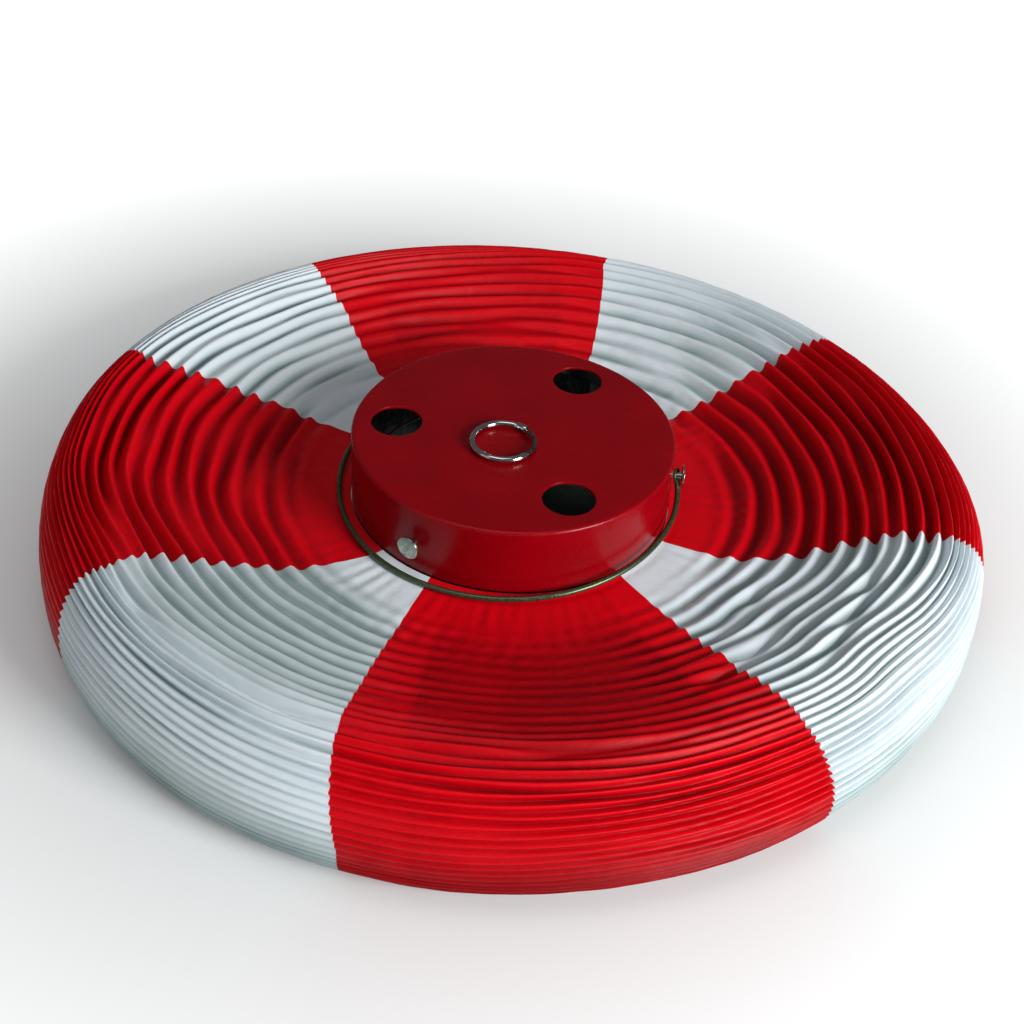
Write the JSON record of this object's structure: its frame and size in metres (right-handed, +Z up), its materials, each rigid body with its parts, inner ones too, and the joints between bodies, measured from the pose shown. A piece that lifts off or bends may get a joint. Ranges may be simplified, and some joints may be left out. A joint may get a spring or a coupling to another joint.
{
  "type": "collapsible marker ball",
  "caption": "Red and white pleated fabric marker ball between two round red end caps, folded flat, with a wire bail and a loose snap ring.",
  "frame": {"origin": "bottom centre: on the floor, at the centre of the lower cap's flat face", "axes": "+Z up along the ball's axis through both caps, +X to the right and -Y towards the front"},
  "size_m": [0.5985, 0.5996, 0.0983],
  "materials": {
    "red_paint": "gloss",
    "red_cloth": "coated satin",
    "white_cloth": "coated satin",
    "bail_wire": "drawn",
    "hoop_wire": "drawn",
    "bright_nickel": "plated",
    "zinc_steel": "zinc plated"
  },
  "bodies": {
    "bottom_end": {"lower_cap": "red_paint", "lower_hem_band": "zinc_steel", "band_rivet_1": "zinc_steel", "band_rivet_2": "zinc_steel", "band_rivet_3": "zinc_steel", "gore_front_red": "red_cloth", "gore_front_right_white": "white_cloth", "gore_right_red": "red_cloth", "gore_back_right_white": "white_cloth", "gore_back_red": "red_cloth", "gore_back_left_white": "white_cloth", "gore_left_red": "red_cloth", "gore_front_left_white": "white_cloth"},
    "top_end": {"upper_cap": "red_paint", "upper_hem_band": "zinc_steel", "stud_1": "bright_nickel", "stud_2": "bright_nickel", "stud_3": "bright_nickel", "stud_nut_1": "zinc_steel", "stud_nut_2": "zinc_steel", "stud_nut_3": "zinc_steel"},
    "bail": {"bail": "bail_wire"},
    "snap_ring": {"snap_ring": "bright_nickel", "gate_pin": "bright_nickel"},
    "ring_gate": {"ring_gate": "bright_nickel"},
    "hoop_01": {"hoop_01": "hoop_wire"},
    "hoop_02": {"hoop_02": "hoop_wire"},
    "hoop_03": {"hoop_03": "hoop_wire"},
    "hoop_04": {"hoop_04": "hoop_wire"},
    "hoop_05": {"hoop_05": "hoop_wire"},
    "hoop_06": {"hoop_06": "hoop_wire"},
    "hoop_07": {"hoop_07": "hoop_wire"},
    "hoop_08": {"hoop_08": "hoop_wire"},
    "hoop_09": {"hoop_09": "hoop_wire"},
    "hoop_10": {"hoop_10": "hoop_wire"},
    "hoop_11": {"hoop_11": "hoop_wire"},
    "hoop_12": {"hoop_12": "hoop_wire"},
    "hoop_13": {"hoop_13": "hoop_wire"},
    "hoop_14": {"hoop_14": "hoop_wire"},
    "hoop_15": {"hoop_15": "hoop_wire"},
    "hoop_16": {"hoop_16": "hoop_wire"},
    "hoop_17": {"hoop_17": "hoop_wire"},
    "hoop_18": {"hoop_18": "hoop_wire"},
    "hoop_19": {"hoop_19": "hoop_wire"},
    "hoop_20": {"hoop_20": "hoop_wire"},
    "hoop_21": {"hoop_21": "hoop_wire"}
  },
  "joints": [
    {"name": "lantern_open", "type": "slide", "parent": "bottom_end", "child": "top_end", "axis": [0, 0, 1], "range_m": [0, 0.561], "deforming": ["gore_front_red", "gore_front_right_white", "gore_right_red", "gore_back_right_white", "gore_back_red", "gore_back_left_white", "gore_left_red", "gore_front_left_white"]},
    {"name": "bail_swing", "type": "hinge", "parent": "top_end", "child": "bail", "pos_m": [0.0283, 0.04546, 0.0688], "axis": [-0.849, 0.5284, 0], "range_deg": [0, 87]},
    {"name": "ring_lift", "type": "slide", "parent": "top_end", "child": "snap_ring", "axis": [0, 0, 1], "range_m": [0, 0.12]},
    {"name": "gate_open", "type": "hinge", "parent": "snap_ring", "child": "ring_gate", "pos_m": [0.0061, -0.00079, 0.0958], "axis": [0, 0, -1], "range_deg": [0, 30], "stiffness_Nm_per_rad": 0.02},
    {"name": "hoop_01_rise", "type": "slide", "parent": "bottom_end", "child": "hoop_01", "axis": [0, 0, 1], "range_m": [0, 0.5493]},
    {"name": "hoop_02_rise", "type": "slide", "parent": "bottom_end", "child": "hoop_02", "axis": [0, 0, 1], "range_m": [0, 0.529]},
    {"name": "hoop_03_rise", "type": "slide", "parent": "bottom_end", "child": "hoop_03", "axis": [0, 0, 1], "range_m": [0, 0.5028]},
    {"name": "hoop_04_rise", "type": "slide", "parent": "bottom_end", "child": "hoop_04", "axis": [0, 0, 1], "range_m": [0, 0.4727]},
    {"name": "hoop_05_rise", "type": "slide", "parent": "bottom_end", "child": "hoop_05", "axis": [0, 0, 1], "range_m": [0, 0.4409]},
    {"name": "hoop_06_rise", "type": "slide", "parent": "bottom_end", "child": "hoop_06", "axis": [0, 0, 1], "range_m": [0, 0.4093]},
    {"name": "hoop_07_rise", "type": "slide", "parent": "bottom_end", "child": "hoop_07", "axis": [0, 0, 1], "range_m": [0, 0.3801]},
    {"name": "hoop_08_rise", "type": "slide", "parent": "bottom_end", "child": "hoop_08", "axis": [0, 0, 1], "range_m": [0, 0.3546]},
    {"name": "hoop_09_rise", "type": "slide", "parent": "bottom_end", "child": "hoop_09", "axis": [0, 0, 1], "range_m": [0, 0.3315]},
    {"name": "hoop_10_rise", "type": "slide", "parent": "bottom_end", "child": "hoop_10", "axis": [0, 0, 1], "range_m": [0, 0.3101]},
    {"name": "hoop_11_rise", "type": "slide", "parent": "bottom_end", "child": "hoop_11", "axis": [0, 0, 1], "range_m": [0, 0.2896]},
    {"name": "hoop_12_rise", "type": "slide", "parent": "bottom_end", "child": "hoop_12", "axis": [0, 0, 1], "range_m": [0, 0.2687]},
    {"name": "hoop_13_rise", "type": "slide", "parent": "bottom_end", "child": "hoop_13", "axis": [0, 0, 1], "range_m": [0, 0.2465]},
    {"name": "hoop_14_rise", "type": "slide", "parent": "bottom_end", "child": "hoop_14", "axis": [0, 0, 1], "range_m": [0, 0.2223]},
    {"name": "hoop_15_rise", "type": "slide", "parent": "bottom_end", "child": "hoop_15", "axis": [0, 0, 1], "range_m": [0, 0.1953]},
    {"name": "hoop_16_rise", "type": "slide", "parent": "bottom_end", "child": "hoop_16", "axis": [0, 0, 1], "range_m": [0, 0.1666]},
    {"name": "hoop_17_rise", "type": "slide", "parent": "bottom_end", "child": "hoop_17", "axis": [0, 0, 1], "range_m": [0, 0.1396]},
    {"name": "hoop_18_rise", "type": "slide", "parent": "bottom_end", "child": "hoop_18", "axis": [0, 0, 1], "range_m": [0, 0.1149]},
    {"name": "hoop_19_rise", "type": "slide", "parent": "bottom_end", "child": "hoop_19", "axis": [0, 0, 1], "range_m": [0, 0.0925]},
    {"name": "hoop_20_rise", "type": "slide", "parent": "bottom_end", "child": "hoop_20", "axis": [0, 0, 1], "range_m": [0, 0.061]},
    {"name": "hoop_21_rise", "type": "slide", "parent": "bottom_end", "child": "hoop_21", "axis": [0, 0, 1], "range_m": [0, 0.0249]}
  ],
  "couplings": [
    {"joint": "hoop_01_rise", "follows": "lantern_open", "ratio": 0.97832},
    {"joint": "hoop_02_rise", "follows": "lantern_open", "ratio": 0.94212},
    {"joint": "hoop_03_rise", "follows": "lantern_open", "ratio": 0.8954},
    {"joint": "hoop_04_rise", "follows": "lantern_open", "ratio": 0.84179},
    {"joint": "hoop_05_rise", "follows": "lantern_open", "ratio": 0.78499},
    {"joint": "hoop_06_rise", "follows": "lantern_open", "ratio": 0.72861},
    {"joint": "hoop_07_rise", "follows": "lantern_open", "ratio": 0.67667},
    {"joint": "hoop_08_rise", "follows": "lantern_open", "ratio": 0.63121},
    {"joint": "hoop_09_rise", "follows": "lantern_open", "ratio": 0.59008},
    {"joint": "hoop_10_rise", "follows": "lantern_open", "ratio": 0.55196},
    {"joint": "hoop_11_rise", "follows": "lantern_open", "ratio": 0.51526},
    {"joint": "hoop_12_rise", "follows": "lantern_open", "ratio": 0.47808},
    {"joint": "hoop_13_rise", "follows": "lantern_open", "ratio": 0.43857},
    {"joint": "hoop_14_rise", "follows": "lantern_open", "ratio": 0.39539},
    {"joint": "hoop_15_rise", "follows": "lantern_open", "ratio": 0.34724},
    {"joint": "hoop_16_rise", "follows": "lantern_open", "ratio": 0.29604},
    {"joint": "hoop_17_rise", "follows": "lantern_open", "ratio": 0.24801},
    {"joint": "hoop_18_rise", "follows": "lantern_open", "ratio": 0.20396},
    {"joint": "hoop_19_rise", "follows": "lantern_open", "ratio": 0.16395},
    {"joint": "hoop_20_rise", "follows": "lantern_open", "ratio": 0.10784},
    {"joint": "hoop_21_rise", "follows": "lantern_open", "ratio": 0.04347}
  ]
}
